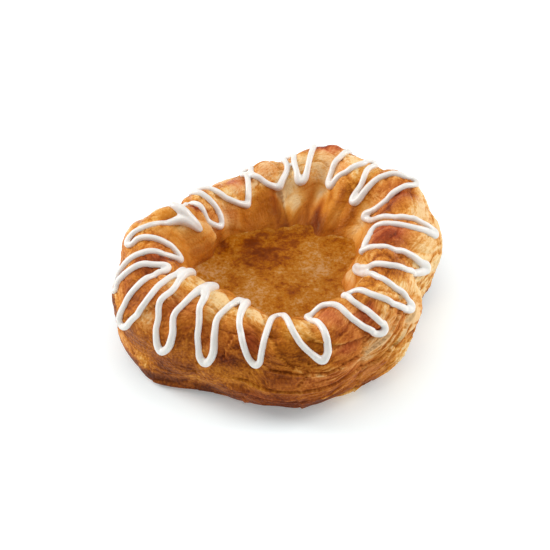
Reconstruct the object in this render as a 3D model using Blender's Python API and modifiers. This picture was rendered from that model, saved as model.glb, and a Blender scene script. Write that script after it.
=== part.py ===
"""Round danish pastry: a ring of laminated dough around a sunken fruit filling, with a zigzag of piped icing.

Metres, +Z up. The origin is the middle of the flat base, and the front of the pastry faces -Y.
Angles run anticlockwise round the pastry from +X, in degrees, so the front is at 270.
"""

import math

import bpy
from mathutils import Vector
from mathutils.bvhtree import BVHTree

MM = 0.001

# Driving dimensions of the dough ring.
MEAN_RADIUS = 52.0 * MM      # from the middle to the widest part of the wall
MEAN_HEIGHT = 34.0 * MM      # from the base to the top of the rim
RIM_WIDTH = 27.0 * MM        # from the widest part of the wall to the inner lip
FLOOR_HEIGHT = 9.0 * MM      # dough left under the filling
FILLING_LEVEL = 17.0 * MM    # height of the filling in the well
BASE_INSET = 5.0 * MM        # how far the base edge lies inside the widest part
BASE_SHARES = (0.85, 0.94)   # rings of the flat underside, as shares of the base radius
CORE_HEIGHT = 0.55           # height of the middle of the rim's section, as a share of the rim's height

# The hand-laid ring is uneven.
# Each row is an angle and the difference from the mean size there, in millimetres.
RADIUS_CHANGE = (
    (5, 2.5), (22, 4.5), (38, 8.0), (52, 3.5), (64, 9.5), (75, 9.5), (87, 2.0), (98, 1.0), (110, -4.0),
    (125, -7.0), (142, -10.0), (157, -9.0), (168, -4.0), (179, 1.5), (190, 3.0), (203, 8.5), (218, 8.0),
    (236, 2.5), (255, 1.5), (278, 3.5), (300, 0.5), (318, 0.5), (332, -2.5), (347, -5.0),
)
HEIGHT_CHANGE = (
    (0, 1.0), (60, -1.5), (105, -5.0), (150, 0.0), (200, 2.0), (240, 0.0), (270, -2.0), (300, -0.5), (330, 2.0),
)
WIDTH_CHANGE = (
    (0, 0.0), (30, 0.0), (64, 0.0), (90, -4.0), (112, -4.0), (145, -9.0), (166, -4.0), (190, -1.5), (208, 2.5),
    (225, 2.5), (250, -2.0), (270, -6.5), (300, -6.0), (330, -3.5),
)
INSET_CHANGE = (
    (0, 1.0), (90, 0.0), (150, -1.0), (185, 2.0), (206, 3.5), (224, -5.5), (245, -3.0), (262, 0.5), (280, -0.5),
    (320, 1.0),
)
# How far the wall of the well runs in from under the lip to the filling.
WELL_RUN = (
    (0, 3.0), (42, 5.0), (60, 10.5), (90, 9.5), (112, 4.0), (140, 0.0), (165, 0.0), (185, 1.0), (210, 4.0),
    (270, 4.5),
)

# Creases between the pleats of the rim: the angle at the crest, and the depth as a share of the usual one.
CREASES = (
    (8, 0.8), (26, 0.6), (45, 1.0), (63, 0.7), (84, 0.9), (108, 0.6), (130, 0.7), (152, 1.3), (172, 0.7),
    (190, 0.6), (208, 0.8), (226, 0.7), (243, 0.9), (262, 0.8), (281, 0.9), (303, 1.0), (324, 0.8), (345, 1.0),
)
CREASE_DEPTH = 3.4 * MM
CREASE_SLANT = 10.0          # degrees round the ring from the inner lip to the outer wall
PLEAT_SHOULDERS = (0.2, 0.8)  # where the pleat's full height starts and ends, as shares of its width

# One section of the dough from the middle of the base round to the middle of the well.
# Each row: how far inside the widest part, as a share of the rim's width, how high, as a share of its height,
# and how deep creases are there.
SECTION = (
    (0.14, 0.10, 0.1),
    (0.02, 0.34, 0.6),
    (0.00, 0.60, 1.0),
    (0.12, 0.86, 1.0),
    (0.34, 1.00, 1.0),
    (0.58, 1.03, 1.0),
    (0.82, 0.92, 1.0),
    (0.98, 0.72, 0.9),
)

# Where the well's wall ends and its floor begins: how far in from the filling's edge, and at what height.
WELL_FOOT_RUN = 3.0 * MM
WELL_FOOT_RISE = 1.5 * MM
FLOOR_SHARE = 0.5            # the last ring of the floor, as a share of the filling's edge

# Filling.
FILLING_ANGLES = 48
FILLING_FOOT_RISE = 1.2 * MM
FILLING_FOOT_SHARE = 0.85    # the underside's edge, as a share of the ring above it
FILLING_DOME = ((0.94, 0.0), (0.5, 0.4 * MM))  # rings of the top: share of the edge and rise above the level
GAP = 0.35 * MM              # kept between touching pieces

# Icing: one closed zigzag bead across the rim.
LIFT_ROUNDS = 4              # passes that lift the bead's straight lengths clear of the crust
LIFT_SHARES = (0.0, 0.25, 0.5, 0.75)
ICING_RADIUS = 0.95 * MM
ICING_TIP_RADIUS = 1.25 * MM
TURN_RADIUS = 1.9 * MM       # of the path in each tip
TURN_STEPS = (-80, -30, 30, 80)
STROKE_TILT_STEP = 18.0      # degrees of tilt between points of a stroke
# Tips of the zigzag, in order round the rim: angle and tilt of an inner tip, then of the next outer one.
# The tilt is the angle across the rim, from straight up out to the wall, negative towards the well.
ICING_TIPS = (
    (146, -48, 153, 36),
    (167, -36, 183, 42),
    (196, -48, 200, 62),
    (210, -20, 216, 76),
    (212, -42, 229, 84),
    (226, -46, 243, 74),
    (249, -46, 261, 62),
    (270, -46, 284, 54),
    (284, -48, 307, 55),
    (302, -48, 325, 57),
    (328, -54, 349, 62),
    (351, -50, 5, 38),
    (32, -52, 34, 36),
    (46, -51, 54, 38),
    (63, -50, 69, 32),
    (79, -42, 85, 32),
    (91, -36, 108, 34),
    (113, -46, 139, 38),
)


def periodic(table, angle):
    """The smooth value at an angle, in metres, from rows of (angle, millimetres) that wrap round."""
    count = len(table)
    for i, (start, _) in enumerate(table):
        end = table[(i + 1) % count][0] + (360 if i + 1 == count else 0)
        turned = (angle - start) % 360
        if turned < end - start:
            before, here, there, after = (table[(i + k) % count][1] for k in (-1, 0, 1, 2))
            t = turned / (end - start)
            slope_in, slope_out = (there - before) / 2, (after - here) / 2
            value = (
                (2 * t**3 - 3 * t**2 + 1) * here
                + (t**3 - 2 * t**2 + t) * slope_in
                + (3 * t**2 - 2 * t**3) * there
                + (t**3 - t**2) * slope_out
            )
            return value * MM
    raise ValueError("the table has no rows")


def ring_sizes(angle):
    """(widest radius, rim height, rim width, base radius) at an angle."""
    outer = MEAN_RADIUS + periodic(RADIUS_CHANGE, angle)
    height = MEAN_HEIGHT + periodic(HEIGHT_CHANGE, angle)
    width = RIM_WIDTH + periodic(WIDTH_CHANGE, angle)
    base = outer - BASE_INSET - periodic(INSET_CHANGE, angle)
    return outer, height, width, base


def at(angle, radius, level):
    return Vector((radius * math.cos(math.radians(angle)), radius * math.sin(math.radians(angle)), level))


def core_of(angle):
    """The middle of the rim's section at an angle."""
    outer, height, width, _ = ring_sizes(angle)
    return at(angle, outer - width / 2, height * CORE_HEIGHT)


def columns():
    """(crest angle, crease depth) of each section of the cage: one in every crease, two on every pleat."""
    found = []
    for i, (start, depth) in enumerate(CREASES):
        end = CREASES[(i + 1) % len(CREASES)][0] + (360 if i + 1 == len(CREASES) else 0)
        found.append((start, depth * CREASE_DEPTH))
        found.extend((start + share * (end - start), 0.0) for share in PLEAT_SHOULDERS)
    return found


def section_points(angle, depth):
    """The cage's points in one slanting section, from the base round to the well's floor."""
    base = ring_sizes(angle)[3]
    points = [at(angle, base * share, 0.0) for share in BASE_SHARES]
    for step, (inward, up, share) in enumerate(SECTION):
        turned = angle + CREASE_SLANT * (step / (len(SECTION) - 1) - 0.5)
        outer, height, width, _ = ring_sizes(turned)
        core = core_of(turned)
        point = at(turned, outer - inward * width, up * height)
        points.append(point - (point - core).normalized() * depth * share)
    edge = outer - width - periodic(WELL_RUN, turned)
    points.append(at(turned, edge, FILLING_LEVEL))
    points.append(at(turned, edge - WELL_FOOT_RUN, FLOOR_HEIGHT + WELL_FOOT_RISE))
    points.append(at(turned, edge * FLOOR_SHARE, FLOOR_HEIGHT))
    return points


def part_collection():
    found = bpy.data.collections.get("danish_pastry")
    if found is None:
        found = bpy.data.collections.new("danish_pastry")
        bpy.context.scene.collection.children.link(found)
    return found


def plain_material(name, colour, roughness):
    material = bpy.data.materials.new(name)
    material.use_nodes = True
    shader = material.node_tree.nodes["Principled BSDF"]
    shader.inputs["Base Color"].default_value = (*colour, 1.0)
    shader.inputs["Roughness"].default_value = roughness
    shader.inputs["Metallic"].default_value = 0.0
    return material


def loft(name, rings, material):
    """A closed body through rings of points from the underside round to the top, capped at both ends."""
    count = len(rings[0])
    points = [point for ring in rings for point in ring]
    faces = [tuple(reversed(range(count)))]
    for k in range(len(rings) - 1):
        for i in range(count):
            j = (i + 1) % count
            faces.append((k * count + i, k * count + j, (k + 1) * count + j, (k + 1) * count + i))
    last = (len(rings) - 1) * count
    faces.append(tuple(range(last, last + count)))
    mesh = bpy.data.meshes.new(name)
    mesh.from_pydata(points, [], faces)
    mesh.materials.append(material)
    mesh.shade_smooth()
    made = bpy.data.objects.new(name, mesh)
    part_collection().objects.link(made)
    return made


def make_pastry():
    """The dough, as one loft of unlike sections round the ring, smoothed by Subdivision Surface."""
    sections = [section_points(angle, depth) for angle, depth in columns()]
    rings = [list(ring) for ring in zip(*sections)]
    pastry = loft("pastry", rings, plain_material("crust", (0.62, 0.30, 0.09), 0.45))
    smooth = pastry.modifiers.new("smooth", "SUBSURF")
    smooth.levels = smooth.render_levels = 1
    return pastry


def surface_of(made):
    """The finished surface of an object, for finding what lies on it."""
    bpy.context.view_layer.update()
    return BVHTree.FromObject(made, bpy.context.evaluated_depsgraph_get())


def well_radius(crust, angle, level):
    """How far the well's wall stays from the middle, round an angle and at a height."""
    middle = Vector((0.0, 0.0, level))
    reach = 180 / FILLING_ANGLES
    hits = [crust.ray_cast(middle, at(angle + turn * reach, 1.0, 0.0))[0] for turn in (-1, -0.5, 0, 0.5, 1)]
    return min((hit - middle).length for hit in hits)


def make_filling(crust):
    """Solid up to its level, with its edge just clear of the well's wall and a low dome in the middle."""
    angles = [360 * i / FILLING_ANGLES for i in range(FILLING_ANGLES)]
    bottom = FLOOR_HEIGHT + WELL_FOOT_RISE + GAP
    foot = bottom + FILLING_FOOT_RISE
    rings = []
    for level in (foot, (foot + FILLING_LEVEL) / 2, FILLING_LEVEL - GAP):
        rings.append([at(a, well_radius(crust, a, level) - 2 * GAP, level) for a in angles])
    edge = rings[-1]
    rings.insert(0, shrunk(rings[0], FILLING_FOOT_SHARE, bottom))
    rings.extend(shrunk(edge, share, FILLING_LEVEL + rise) for share, rise in FILLING_DOME)
    return loft("filling", rings, plain_material("filling", (0.62, 0.26, 0.02), 0.2))


def shrunk(ring, share, level):
    """A ring drawn in towards the middle, at a height."""
    return [Vector((point.x * share, point.y * share, level)) for point in ring]


def icing_path():
    """(angle, tilt, bead radius) along the zigzag: a round turn in each tip and a straight stroke between."""
    turns = []
    for inner_angle, inner_tilt, outer_angle, outer_tilt in ICING_TIPS:
        turns.append(tip_turn(inner_angle, inner_tilt, -1))
        turns.append(tip_turn(outer_angle, outer_tilt, 1))
    path = []
    for turn, following in zip(turns, turns[1:] + turns[:1]):
        path.extend((angle, tilt, ICING_TIP_RADIUS) for angle, tilt in turn)
        (angle, tilt), (next_angle, next_tilt) = turn[-1], following[0]
        step_angle = (next_angle - angle + 180) % 360 - 180
        steps = math.ceil(abs(next_tilt - tilt) / STROKE_TILT_STEP)
        for k in range(1, steps):
            share = k / steps
            path.append((angle + share * step_angle, tilt + share * (next_tilt - tilt), ICING_RADIUS))
    return path


def tip_turn(angle, tilt, side):
    """(angle, tilt) round one tip. Side is 1 for an outer tip and -1 for an inner one."""
    outer, height, width, _ = ring_sizes(angle)
    reach = outer - width / 2 + math.sin(math.radians(tilt)) * width / 2
    degrees_round = math.degrees(TURN_RADIUS / reach)
    degrees_across = math.degrees(TURN_RADIUS / (width / 2))
    return [
        (
            angle + degrees_round * math.sin(math.radians(turn)),
            tilt - side * degrees_across * (1 - math.cos(math.radians(turn))),
        )
        for turn in TURN_STEPS
    ]


def on_crust(crust, angle, tilt, radius):
    """The middle of a bead that rests on the crust at an angle and a tilt across the rim."""
    slope = math.radians(tilt)
    outward = at(angle, math.sin(slope), math.cos(slope))
    return crust.ray_cast(core_of(angle), outward)[0] + outward * radius


def lift_clear(crust, middles, radii):
    """Move the bead's middles out until every straight length between them is clear of the crust."""
    for _ in range(LIFT_ROUNDS):
        for i, radius in enumerate(radii):
            here, there = middles[i - 1], middles[i]
            for share in LIFT_SHARES:
                point = here.lerp(there, share)
                nearest, _, _, distance = crust.find_nearest(point)
                lack = max(radius, radii[i - 1]) + GAP - distance
                if lack > 0:
                    push = (point - nearest).normalized() * lack
                    here += push
                    there += push


def make_icing(crust):
    """One closed round bead that follows the crust from tip to tip."""
    path = icing_path()
    middles = [on_crust(crust, angle, tilt, radius) for angle, tilt, radius in path]
    radii = [radius for _, _, radius in path]
    lift_clear(crust, middles, radii)
    line = bpy.data.curves.new("icing", "CURVE")
    line.dimensions = "3D"
    line.bevel_depth = 1.0
    line.bevel_resolution = 1
    spline = line.splines.new("POLY")
    spline.points.add(len(path) - 1)
    spline.use_cyclic_u = True
    for place, middle, radius in zip(spline.points, middles, radii):
        place.co = (*middle, 1.0)
        place.radius = radius
    line.materials.append(plain_material("icing", (0.86, 0.86, 0.84), 0.25))
    icing = bpy.data.objects.new("icing", line)
    part_collection().objects.link(icing)
    return icing


def clear_scene():
    for old in list(bpy.data.objects):
        bpy.data.objects.remove(old)


def main():
    clear_scene()
    crust = surface_of(make_pastry())
    make_filling(crust)
    make_icing(crust)


main()
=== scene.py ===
"""Danish pastry, dressed: a flaky crust, a glossy fruit filling and a piped zigzag of icing.

Metres, +Z up, the front faces -Y. Angles run anticlockwise round the ring from +X, in degrees.
Tilts run across the rim, in degrees: 0 straight up, positive out to the wall, negative to the well.
Sizes in the named values are in millimetres, and those of rays, floor, camera and lamps in metres.
"""

import math
from types import SimpleNamespace

import bpy
import numpy as np
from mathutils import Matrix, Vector
from mathutils.bvhtree import BVHTree


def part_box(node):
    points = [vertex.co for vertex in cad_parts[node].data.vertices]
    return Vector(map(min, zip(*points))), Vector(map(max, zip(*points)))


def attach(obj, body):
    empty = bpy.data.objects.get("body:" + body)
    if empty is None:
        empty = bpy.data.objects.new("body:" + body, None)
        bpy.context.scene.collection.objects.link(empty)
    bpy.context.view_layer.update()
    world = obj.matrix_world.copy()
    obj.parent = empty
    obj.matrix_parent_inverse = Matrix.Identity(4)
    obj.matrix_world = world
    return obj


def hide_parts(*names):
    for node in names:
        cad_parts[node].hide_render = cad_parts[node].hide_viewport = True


MM = 0.001
FAR = 0.2  # from where rays start outside the pastry
DOWN = Vector((0, 0, -1))

# Grid of the crust.
COLUMNS = 500
ROW_SPANS = ((153, 90, 52), (90, 0, 66), (0, -90, 50), (-90, -122, 20))  # from tilt, to tilt, rows
WALL_LEVELS = (0.4, 0.5, 0.6)  # of the rays at the wall, as shares of the crest's height
LIP_LEVELS = (0.6, 0.66, 0.72)  # and at the lip of the well
CREST_STEPS = (0.3, 0.45, 0.6, 0.75)  # of the rays at the crest, as shares of the rim's width
CORE_SHARE = 0.55  # height of the section's middle, as a share of the crest's
CORE_ROUNDS = 40
SMOOTH_ROUNDS = 8
RING_RADIUS = 50.0  # for distances round the ring
ARC_RUN = math.radians(RING_RADIUS)  # round the ring in a degree of angle
TILT_RUN = 0.245  # across the rim in a degree of tilt
FOOT_HEIGHT = 2.5  # below which the relief fades
FOOT_RELIEF = 0.25

# Noise and cells.
LATTICE = 32
NOISE_SHIFT = 100.0  # keeps the noise on the ring at positive places
FLAT_SHIFT = 50  # and the noise on the filling
CELL_ROWS = 80
CELL_SHIFT = 10.0
CELL_MIDDLES = (0.12, 0.88)  # where in a cell its middle may lie
CELL_WARP = 0.35
CELL_WARP_SIZE = (0.9, 1.3)  # of the noise that warps the cells, in cells

# Noise over the crust: length round the ring, length across and seed.
DRIFT = (13.0, 7.0, 3)
SMALL_DRIFT = (4.0, 2.6, 4)
FLAKY_PATCHES = (12.0, 8.0, 5)
LUMPS = (6.0, 4.0, 6)
MOTTLE = (9.0, 6.0, 9)
REDNESS = (11.0, 8.0, 10)
LEAVES = (10.0, 1.0, 11)
LEAFY_PATCHES = (15.0, 6.0, 12)

# Cells over the crust: length round the ring, length across, slant and seed.
PILLOWS = (17.0, 8.0, 0.8, 30)
FLAKES = (4.6, 1.7, 0.3, 40)
TWISTS = (3.0, 7.0, 0.9, 50)
CRUMBS = (3.4, 0.9, 0.3, 60)
CRACK_WIDTH = 0.10  # of a cell
GROOVE_WIDTH = 0.20  # of a layer

# Tilts between which the wall's zone and the well's grow to their full strength.
WALL_ZONE = (10, 60)
INNER_ZONE = (20, 50)

# Smooth oval places: angle, tilt, half sizes in degrees, then edge and fade in half sizes.
LOBE = (171, -38, 15, 42, 1.4, 0.7)
PANEL = (222, 52, 11, 34, 1.3, 0.6)

# Creases between the pleats of the rim: the angle at the crest, and the strength.
CREASES = (
    (8, 0.8), (26, 0.6), (45, 1.0), (63, 0.7), (84, 0.9), (108, 0.6), (130, 0.7), (152, 1.3), (172, 0.7),
    (190, 0.6), (208, 0.8), (226, 0.7), (243, 0.9), (262, 0.8), (281, 0.9), (303, 1.0), (324, 0.8),
    (345, 1.0),
)
CREASE_SLANT = 10.0
CREASE_SPAN = (140, -80)  # tilts from which to which the slant runs
CREASE_HEIGHT = 0.45
CREASE_REACH = 2.0
CREASE_BACK = 0.8  # depth behind the crease as a share of its height, and its reach

# Layers of the dough.
LAYER_PITCH = 1.15
LAYER_DRIFT = (2.0, 0.5)  # by drift and small drift
LAYER_BEND = (2.4, 0.5)  # by distance from the pillow's middle and by pillow
LEAF_SPREAD = 3.7  # sets the noise of the layers apart

# How far the layers climb the wall, round the ring.
LAYER_RISE = (
    (0, 2.5), (40, 0.0), (90, 1.5), (140, 0.0), (190, 2.0), (225, 1.0), (250, 2.5), (270, 1.0), (290, 0.0),
    (302, 2.0), (314, 6.0), (328, 7.0), (345, 4.5),
)

# How plainly the layers show, round the ring.
LAYERED = (
    (0, 0.9), (30, 0.6), (60, 0.5), (120, 0.5), (150, 0.5), (188, 0.9), (200, 0.6), (210, 0.1), (225, 0.0),
    (250, 0.0), (278, 0.15), (298, 0.7), (318, 1.0), (345, 1.0),
)

# Edges of dough folds: step height, reach, then (angle, tilt) points in order.
# The dough stands out on the side of the larger angles where the line runs towards the well.
EDGES = (
    (1.8, 3.5, (148, 60), (149, 46), (150, 20), (152, -4), (155, -30), (160, -62)),
    (0.9, 2.4, (252, 90), (249, 70), (250, 50), (252, 32), (257, 27)),
    (0.9, 2.2, (262, 8), (268, 22), (271, 40), (272, 58), (276, 66)),
    (1.0, 2.6, (320, 26), (307, 42), (299, 45), (290, 40), (282, 22)),
    (0.8, 2.0, (262, 64), (276, 74), (290, 78), (303, 70), (313, 58), (322, 42)),
    (0.7, 2.0, (250, 100), (262, 106), (276, 110), (290, 110), (304, 104), (316, 90), (326, 70)),
    (0.7, 1.8, (302, 128), (286, 132), (270, 127), (252, 122)),
    (0.9, 2.4, (225, 10), (222, 26), (219, 44), (215, 62)),
    (0.7, 1.8, (238, 30), (236, 52), (236, 78)),
    (1.0, 2.2, (83, -88), (87, -73), (90, -58), (93, -40)),
)
FOLD_START = 5.0  # over which a fold grows to its full height
FOLD_BACK = 0.6  # depth behind a fold, as a share of its step
FOLD_BACK_REACH = 0.4  # and as a share of its reach
LIP_WIDTH = 0.5

# Broad swellings and hollows of the ring: angle, tilt, half lengths round and across, height.
SWELLINGS = (
    (176, 24, 15, 8, 2.8), (38, 26, 17, 8, 1.6), (100, 8, 7, 6, 1.3), (82, 8, 5, 6, 1.3),
    (90, 4, 2.5, 6, -1.3), (157, 20, 4, 6, -1.2), (214, 112, 12, 7, -3.2), (240, 142, 12, 5, -2.2),
    (219, 141, 6, 4, 1.0), (204, 100, 10, 6, -0.8), (357, 112, 14, 9, -1.9), (333, 84, 8, 8, 1.8),
    (334, 78, 4, 5, 0.6), (122, -98, 20, 8, -1.6), (150, -98, 10, 7, -1.2), (165, -56, 8, 6, 1.3),
    (83, -78, 4.5, 11, 1.2), (59, -78, 5.5, 11, 0.8), (92, -74, 3, 10, -0.9), (71, -78, 3, 10, -1.1),
    (46, -74, 3, 9, -0.6), (234, -42, 14, 6, 1.5), (272, -30, 19, 7, 2.4), (294, -27, 10, 6, 1.6),
    (307, -24, 8, 6, 1.8), (275, 36, 5, 5, -1.3), (300, 70, 14, 8, 0.6), (250, 84, 5, 5, -0.6),
    (213, -40, 9, 7, 2.3), (338, -62, 8, 7, -1.0), (8, -44, 13, 8, 2.6), (348, -58, 6, 6, -0.4),
    (93, -108, 6, 9, 3.4), (71, -108, 5, 9, 3.2), (112, -108, 12, 8, 1.6), (348, -97, 6, 8, -1.0),
    (72, 16, 5, 6, 1.0), (70, 26, 4, 4, 0.9), (78, 26, 4, 5, 0.8), (34, 22, 10, 6, 0.7),
    (4, 70, 10, 8, 0.8), (146, 30, 8, 6, 1.0),
)
SWELLING_FALL = 1.4
GROWTH = 0.35  # taken off the relief all over

# Relief of the crust.
PILLOW_HEIGHT = 0.8
PILLOW_MIDDLE = 0.4
VALLEY_DEPTH = 0.35
FLAKE_RELIEF = (0.24, 0.42, -0.08, 0.08)  # by flake, its lifted edge, crack and crumb
LEAF_RELIEF = (0.22, -0.16)  # by leaf and groove
LUMP_RELIEF = (0.5, 0.4)  # by drift and noise
FOLD_DRIFT = 1.5  # degrees

# Tone of the crust from 0, pale, to 1, dark: browning, with painted shade and highlight as noted below.
BASE_BROWN = 0.38
MOST_BROWN = 0.85
# Darker down the wall and at its foot, partly browning and partly painted shade where the pastry meets the
# floor.
BROWNING_AND_FOOT_SHADE = ((0.18, 1, 75, 115), (0.35, 1, 126, 146), (0.14, -1, 80, 104))  # darkening, side, tilts
MOTTLE_BROWNING = (0.18, 0.08)  # by noise and pillow
# Painted shade in valleys; paler lips and tops are painted highlight, the lips partly pale cut edges.
FORM_SHADE_AND_HIGHLIGHT = (0.1, -0.15, -0.1)  # by valley, lip and height
# By flake, lifted edge, crack and crumb: random tone, painted highlight on lifted edges, painted shade in
# cracks.
FLAKE_TONE_AND_SHADE = (-0.24, -0.22, 0.1, 0.12)
# By leaf and groove: random tone for the leaves, painted shade in the grooves between them.
LEAF_TONE_AND_GROOVE_SHADE = (-0.2, 0.24)
BASE_RED = 0.15
RED_RANGE = 0.45
LEAST_SPOT_RED = -0.3
SPOT_FALL = 1.3
SPOT_STRENGTH = 1.1
SPOT_WOBBLE = 0.35

# Spots on the crust: angle, tilt, half lengths round and across, darkening (and redness) in hundredths.
# Most set the crust's own tone; some paint light. Pale spots on the right wall and on the lobe are
# painted highlight, pale spots on the back pleats, partly their pale dough, lift the shade of their
# folds, darker ones between the pleats are painted shade, and the dark bands at the front foot are
# browning and painted shade.
CRUST_TONE_AND_LIGHT_SPOTS = (
    (356, -8, 9, 6, 32, 100), (26, 6, 6, 5, 40, 50), (14, 22, 6, 5, -35), (200, -10, 6, 4, 30, 50),
    (206, 5, 5, 4, 25, 40), (204, 42, 6, 5, 0, 40), (173, -6, 4, 2, 30, 50), (153, -8, 3, 2, 90, 90),
    (116, 4, 5, 4, 10, 70), (99, -3, 6, 4, -30, 30), (73, 20, 5, 4, 45, 100), (259, 33, 4, 4, 25, 80),
    (292, 50, 6, 3, 15, 50), (291, -2, 7, 4, 10, 80), (304, 20, 4, 3, 0, 80), (173, -34, 9, 9, -6, -60),
    (251, 72, 4, 3, 45, 30), (262, 124, 10, 2.4, 60, 30), (276, 140, 12, 2, 50, 20),
    (275, 37, 6, 5, 30, -20), (353, 78, 9, 6, -45, -20), (298, 88, 8, 2, -40), (308, 60, 6, 3, -35),
    (328, 12, 4, 4, 25), (236, -8, 6, 3, -25), (219, 60, 6, 5, -40), (206, 66, 9, 4, -15),
    (330, 66, 8, 6, -25), (290, 104, 14, 3, 10), (174, -70, 10, 8, -12, -50), (66, -4, 8, 7, -55),
    (335, -38, 13, 5, -35, -30), (2, 56, 12, 7, -40, -30), (324, 84, 6, 4, -10), (243, -20, 16, 5, -25),
    (188, 16, 5, 5, -20), (12, 36, 8, 6, -25), (123, -13, 5, 4, -50, -20), (355, 128, 12, 9, -55, -30),
    (324, 24, 4, 3, -25, -20), (88, -30, 4, 5, -50, -30), (84, -48, 4, 5, -40, -30),
    (81, -66, 3.5, 5, -40, -30), (59, -62, 3.5, 5, -15, -30), (71, -60, 3, 9, 25),
    (319, 136, 11, 8, -50, -30), (223, -38, 6, 6, -85, -30), (135, -3, 4, 4, -40), (146, 4, 3, 4, -40),
    (29, 54, 8, 6, -60, -20), (100, -50, 8, 9, 15), (260, -6, 9, 3, -45), (281, -9, 5, 3, -35, -30),
    (310, 34, 4, 3, -35), (295, 150, 8, 3, -50), (219, 127, 6, 4, -40), (241, 5, 5, 5, -35),
    (50, -46, 6, 10, 15), (84, -88, 6, 4, 20), (57, -90, 6, 4, 15), (298, 18, 4, 3, -35),
    (205, 82, 6, 4, 45), (136, -40, 6, 6, -30), (35, -74, 5, 5, -30), (180, 3, 5, 4, -35),
    (274, 80, 8, 5, 35), (313, -16, 5, 4, 30), (205, 122, 6, 4, -30), (152, -42, 5, 6, -30),
    (152, -18, 3, 3, -30), (330, -12, 7, 4, 30, 20), (203, 58, 4, 3, -30), (9, 94, 8, 6, -30),
    (190, -20, 5, 3, 25), (308, 14, 3, 3, 20, 20), (317, 14, 3, 4, -35), (227, 38, 4, 5, 30),
    (235, 64, 5, 5, 30), (215, 52, 4, 4, 30), (211, 34, 4, 3, 25), (217, 45, 4, 8, 25), (333, 20, 4, 4, 25),
    (283, 109, 5, 3, -25), (268, 50, 5, 6, 25), (97, -76, 3, 8, 15), (108, -18, 7, 3, -35),
    (81, -8, 4, 5, -35), (170, -18, 6, 4, -30), (53, 0, 6, 5, -15), (311, 98, 5, 4, -35),
    (71, -32, 5, 7, -30), (304, 40, 4, 3, 30), (162, -32, 4, 4, -25), (118, 24, 5, 4, -30),
    (28, 30, 4, 3, -30), (352, 34, 5, 4, -30), (18, 0, 4, 4, 20), (90, -50, 3, 6, -30),
    (324, 26, 4, 4, -25), (71, 8, 4, 3, -25), (10, 90, 6, 8, -35), (239, 72, 5, 4, -30),
    (120, -20, 4, 4, -25), (98, -20, 4, 3, -30), (330, 30, 4, 3, -30), (205, 78, 5, 3, 20),
    (301, 72, 5, 3, -25), (37, 3, 4, 4, -25), (341, -76, 5, 6, -25), (228, 52, 4, 4, -10),
    (93, -72, 3, 8, 30), (87, -86, 4, 3, 25), (88, -55, 2, 5, -30), (77, -88, 4, 3, 25),
    (69, -65, 2.5, 5, -35), (65, -78, 3, 4, 40), (60, -84, 4, 3, 40), (61, -50, 3, 4, 25),
    (50, -70, 3, 6, -25), (42, -64, 4, 5, 35), (218, 7, 3, 4, -30), (322, 119, 6, 5, -30),
    (1, 2, 4, 4, -25), (201, -27, 4, 4, 30, 10), (120, 22, 5, 4, -25, 10), (225, 55, 3, 5, 12),
    (315, 149, 6, 4, -25), (277, 9, 4, 4, -30), (35, -40, 4, 4, -25), (278, 63, 5, 4, -25),
    (268, 3, 3, 4, 30), (321, 20, 4, 4, -20), (350, -20, 4, 4, 30, 10), (224, 98, 4, 4, -25),
    (202, 14, 4, 3, 30, 30), (223, 17, 4, 3, -30), (135, -43, 4, 4, -20), (300, 95, 5, 4, -20),
    (304, 9, 3, 3, -20), (329, -33, 3, 3, 25), (10, 93, 5, 5, -20), (170, 22, 5, 4, -25),
    (255, 52, 4, 5, 25), (236, 30, 3, 4, 25), (20, 25, 4, 4, -20), (306, 39, 3, 3, 30, 30),
    (306, -8, 3, 3, 25, 10), (102, -23, 5, 3, -20), (96, 10, 7, 4, -20), (323, 90, 4, 4, -20),
    (310, 35, 3, 3, -20), (90, -45, 3, 4, -30), (52, -38, 3, 4, 30), (305, 53, 4, 3, -30),
    (336, -80, 7, 5, -30, -20), (262, 113, 4, 4, 15), (86, -29, 3, 4, -30), (220, 19, 3, 3, 20),
    (40, -21, 3, 4, 20), (289, 37, 4, 3, -20), (218, 54, 3, 3, -20), (313, 2, 3, 3, -30),
    (300, -16, 3, 3, -25), (95, -83, 4, 3, -20), (264, -15, 4, 3, -20), (292, 22, 4, 3, 20, 10),
    (193, -65, 4, 4, -20), (124, 8, 4, 3, -20), (126, -65, 4, 4, -20), (216, 75, 4, 4, 20),
    (115, -1, 3, 3, -20), (109, -39, 4, 4, -20), (254, 2, 3, 3, -20), (308, 18, 3, 3, 20, 10),
    (321, 73, 4, 3, -20), (315, 149, 6, 3, -20), (145, -27, 3, 4, -20), (64, -54, 3, 4, -20),
    (336, 78, 4, 5, -30, -20), (350, 88, 12, 9, -22, -20), (70, 22, 4, 4, 25, 80), (218, 88, 14, 9, 10),
    (190, 60, 14, 10, 4),
)

# The icing.
ICING_RUN_RADIUS = 1.08  # of the bead between the tips
INNER_TURN = 1.05  # radius of the path in a tip
OUTER_TURN = 1.8
OWN_TURNS = {2: 0.4, 19: 1.05, 21: 1.05, 23: 1.05, 29: 3.2}  # for the tips of these strokes
TIP_SHARES = (0.9, 0.96, 0.9)  # of the tip's bead radius, round the tip
SECTION_RADIUS = 13.5  # from the section's middle to the crust
ICING_STEP = 0.45  # between points on the line
ICING_ARC = 0.8  # in a degree of angle, for the number of points
ICING_ROUNDS = 6
ICING_DIP = 0.3  # by which the bead may sink into a bump
ICING_LIFT = 0.32  # of the bead's middle over the crust, as a share of its radius

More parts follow.
